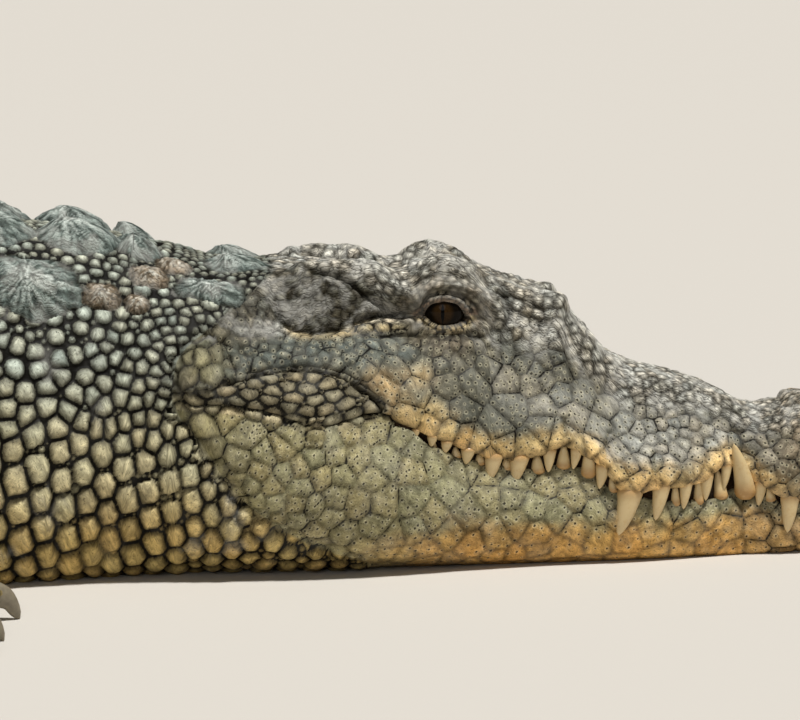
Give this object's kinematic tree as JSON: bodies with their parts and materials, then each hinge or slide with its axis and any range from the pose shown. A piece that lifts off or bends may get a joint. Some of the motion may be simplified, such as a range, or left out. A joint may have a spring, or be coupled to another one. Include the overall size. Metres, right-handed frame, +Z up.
{
  "type": "life-size crocodile model",
  "caption": "Life-size Nile crocodile lying on its belly, chin on the ground, jaws closed with teeth showing, tail swept gently to one side.",
  "frame": {"origin": "middle of the animal's bounding box, on the ground that it lies on", "axes": "+X towards the snout, +Y to the animal's left, +Z up"},
  "size_m": [3.5302, 1.1124, 0.3499],
  "materials": {
    "hide": "scaly hide, grey-green with cream flanks and dark creases, satin",
    "jaw_hide": "cracked scaly hide, olive grey turning golden cream at the lip and chin, satin",
    "back_hide": "keeled horny plates, blue-grey with fine wrinkles, matt",
    "tooth": "ivory teeth with fine lengthwise lines, semi-gloss",
    "eye": "dark olive iris with a slit pupil under a clear wet surface",
    "claw": "slate grey horn, satin"
  },
  "bodies": {
    "root": {"head": "hide", "eye_right": "eye", "eye_left": "eye", "lower_jaw": "jaw_hide", "neck": "hide", "trunk_front": "back_hide", "trunk_rear": "back_hide", "tail_1": "back_hide", "tail_2": "back_hide", "tail_3": "back_hide", "tail_4": "back_hide", "upper_arm_right": "hide", "forearm_right": "hide", "forefoot_right": "hide", "fore_claw_right_1": "claw", "fore_claw_right_2": "claw", "fore_claw_right_3": "claw", "thigh_right": "hide", "shank_right": "hide", "hindfoot_right": "hide", "hind_claw_right_1": "claw", "hind_claw_right_2": "claw", "hind_claw_right_3": "claw", "upper_arm_left": "hide", "forearm_left": "hide", "forefoot_left": "hide", "fore_claw_left_1": "claw", "fore_claw_left_2": "claw", "fore_claw_left_3": "claw", "thigh_left": "hide", "shank_left": "hide", "hindfoot_left": "hide", "hind_claw_left_1": "claw", "hind_claw_left_2": "claw", "hind_claw_left_3": "claw"}
  },
  "joints": []
}
